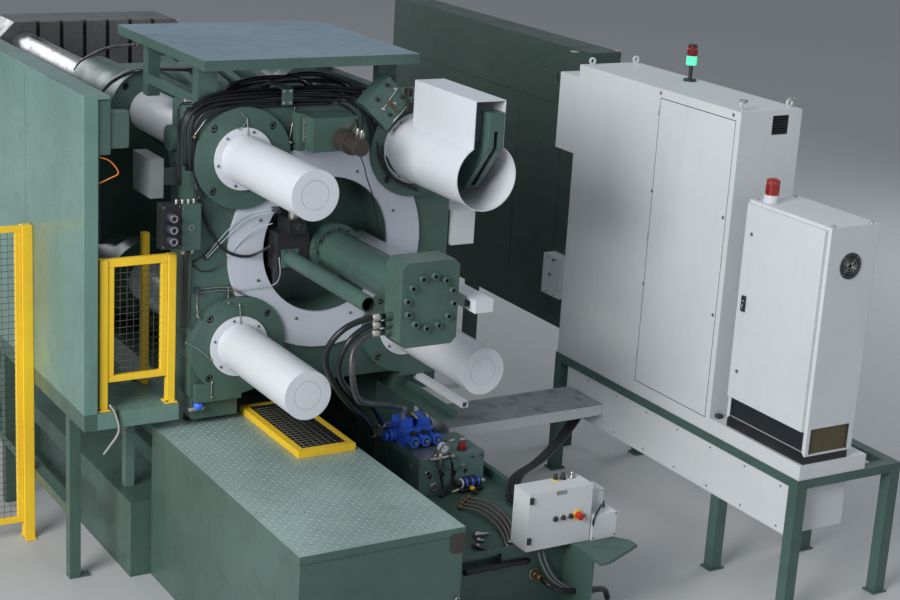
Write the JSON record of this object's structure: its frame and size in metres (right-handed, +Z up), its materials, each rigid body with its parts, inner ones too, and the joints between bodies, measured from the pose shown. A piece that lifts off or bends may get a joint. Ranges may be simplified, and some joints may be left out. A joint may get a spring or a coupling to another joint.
{
  "type": "die casting machine",
  "caption": "Cold chamber die casting machine with toggle clamp, tie bar covers, guards, oil tank and electrical cabinets; cabinet and control box doors swing open.",
  "frame": {"origin": "on the floor, on the machine's centre line, below the tail platen's near face", "axes": "+X towards the electrical cabinets, +Y along the machine towards the injection end, +Z up"},
  "size_m": [6.021, 8.87, 3.296],
  "materials": {
    "machine_green": "satin paint, worn",
    "yellow": "gloss paint",
    "cover_white": "satin paint",
    "valve_black": "satin",
    "bare_steel": "machined",
    "dark_green": "satin paint",
    "cast_grey": "machined cast iron",
    "motor_brown": "satin",
    "valve_blue": "gloss paint",
    "cabinet_grey": "powder coat",
    "lamp_plastic": "gloss",
    "hose_rubber": "matte"
  },
  "bodies": {
    "machine": {"base_frame": "machine_green", "bed_ways": "machine_green", "oil_tank": "machine_green", "tank_grating": "yellow", "tail_platen": "machine_green", "ring_cover": "cover_white", "clamp_cylinder": "machine_green", "cylinder_end_block": "machine_green", "return_pipe": "machine_green", "prefill_block": "valve_black", "pilot_valve": "valve_black", "guide_rail": "cover_white", "tie_bars": "bare_steel", "tie_bar_sleeves": "cover_white", "bar_covers": "cover_white", "puller_cover": "cover_white", "puller_arm": "machine_green", "moving_platen": "machine_green", "tail_links": "dark_green", "platen_links": "machine_green", "crosshead": "dark_green", "fixed_platen": "cast_grey", "injection_frame": "machine_green", "shot_cylinder": "machine_green", "accumulators": "machine_green", "top_platform": "machine_green", "adjusting_motor": "motor_brown", "tilted_manifold": "machine_green", "side_terminal_box": "machine_green", "side_valve_block": "valve_black", "terminal_boxes": "cover_white", "way_channel": "machine_green", "operator_guard": "machine_green", "guard_stand": "machine_green", "step_platform": "machine_green", "mesh_fences": "yellow", "helper_guard": "machine_green", "guard_switch_box": "cover_white", "valve_manifold": "machine_green", "valve_bank": "valve_blue", "cable_tray": "cabinet_grey", "control_box": "cabinet_grey", "large_cabinet": "cabinet_grey", "signal_tower": "lamp_plastic", "small_cabinet": "cabinet_grey", "cabinet_plinth": "cabinet_grey", "cabinet_stand": "machine_green", "cable_duct": "cabinet_grey", "clamp_hoses": "hose_rubber"},
    "small_cabinet_door": {"small_cabinet_door": "cabinet_grey"},
    "control_box_door": {"control_box_door": "cabinet_grey"}
  },
  "joints": [
    {"name": "small_cabinet_door_hinge", "type": "hinge", "parent": "machine", "child": "small_cabinet_door", "pos_m": [2.293, -1.924, 1.85], "axis": [0, 0, 1], "range_deg": [0, 110]},
    {"name": "control_box_door_hinge", "type": "hinge", "parent": "machine", "child": "control_box_door", "pos_m": [0.675, -1.4243, 0.68], "axis": [0, 0, -1], "range_deg": [0, 110]}
  ]
}
